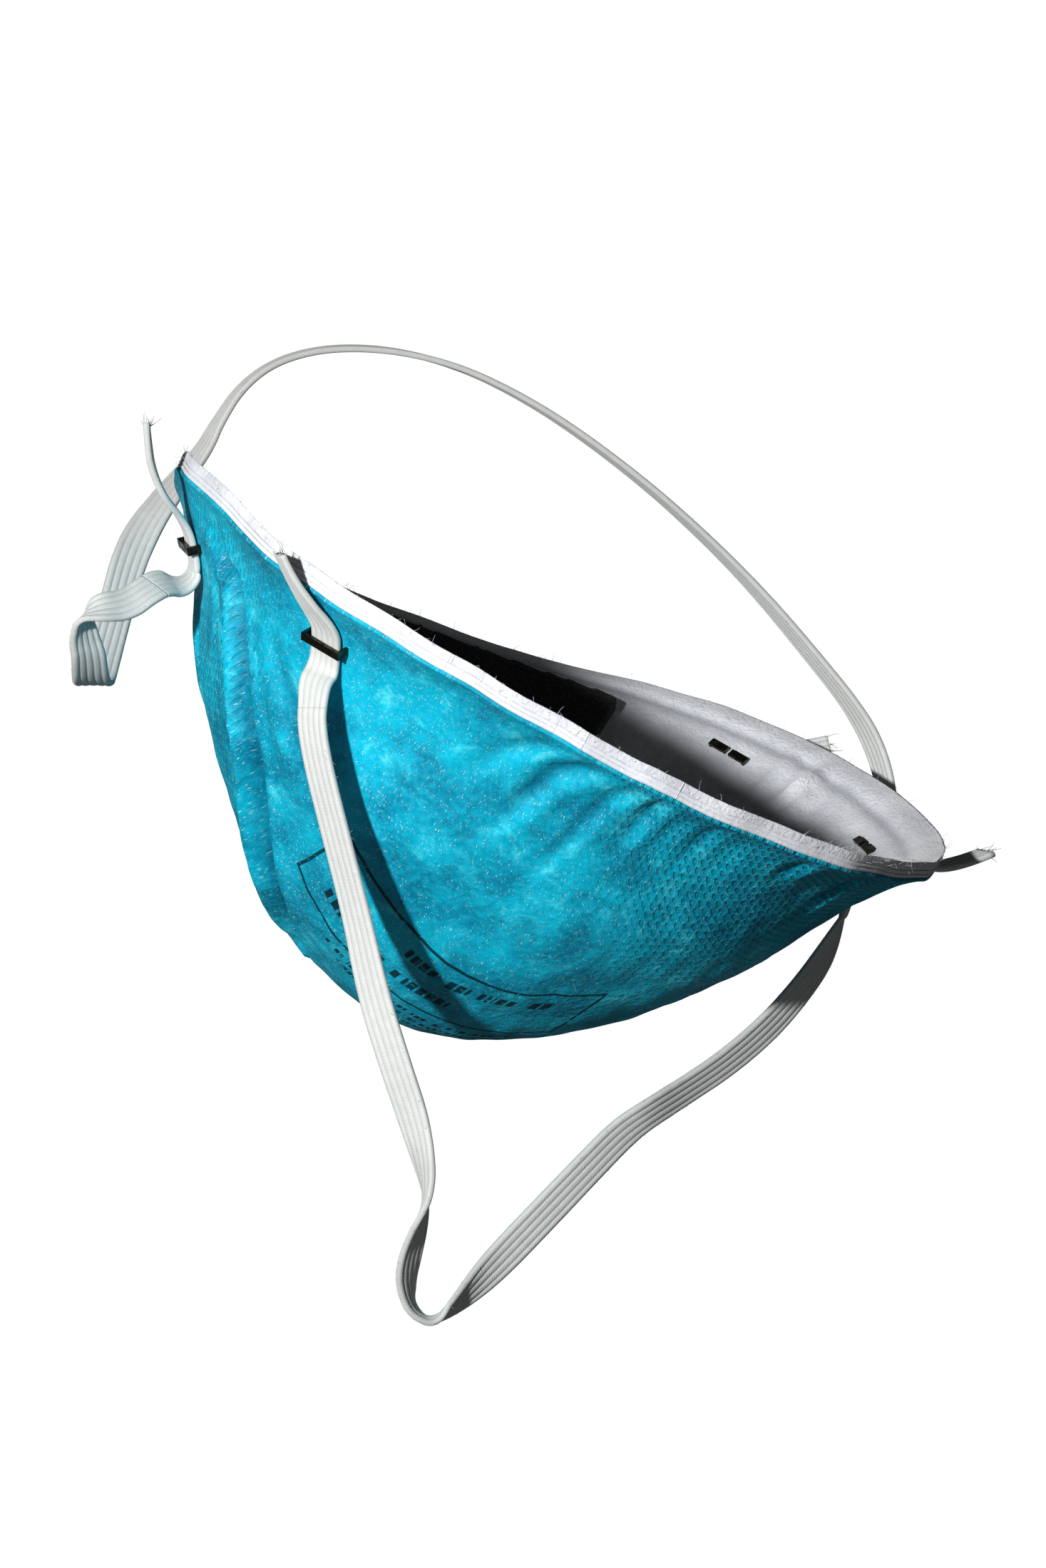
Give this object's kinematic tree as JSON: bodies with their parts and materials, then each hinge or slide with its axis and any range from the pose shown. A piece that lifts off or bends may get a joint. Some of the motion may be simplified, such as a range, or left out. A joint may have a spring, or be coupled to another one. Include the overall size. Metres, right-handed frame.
{
  "type": "disposable dust mask",
  "caption": "Moulded cup respirator: layered filter cup with a felt rim, nose clip, nose foam and two stapled elastic straps.",
  "frame": {"origin": "middle of the face seal: the plane of the cheek rim, on the mask's mid-line", "axes": "+X to the wearer's right cheek, +Y to the nose, +Z out of the opening towards the wearer's face"},
  "size_m": [0.1578, 0.1336, 0.1229],
  "materials": {
    "cover_web": "pressed nonwoven with bright fibres",
    "filter_web": "soft melt-blown web",
    "shell_felt": "moulded needle felt",
    "clip_aluminium": "satin",
    "nose_foam": "open-cell foam",
    "staple_steel": "flat wire",
    "strap_elastic": "braided elastic"
  },
  "bodies": {
    "cup": {"cover_web": "cover_web", "filter_web_outer": "filter_web", "filter_web_inner": "filter_web", "inner_shell": "shell_felt", "nose_clip": "clip_aluminium", "nose_foam": "nose_foam", "staple_upper_left": "staple_steel", "staple_upper_right": "staple_steel", "staple_lower_left": "staple_steel", "staple_lower_right": "staple_steel", "upper_strap_ends": "strap_elastic", "lower_strap_ends": "strap_elastic"},
    "upper_strap_loop": {"upper_strap": "strap_elastic"},
    "lower_strap_loop": {"lower_strap": "strap_elastic"}
  },
  "joints": [
    {"name": "upper_strap_swing", "type": "hinge", "parent": "cup", "child": "upper_strap_loop", "pos_m": [0, 0.02035, -0.01104], "axis": [1, 0, 0], "range_deg": [-60, 42], "stiffness_Nm_per_rad": 0.02},
    {"name": "lower_strap_swing", "type": "hinge", "parent": "cup", "child": "lower_strap_loop", "pos_m": [0, -0.02098, -0.0099], "axis": [1, 0, 0], "range_deg": [-55, 20], "stiffness_Nm_per_rad": 0.02}
  ]
}
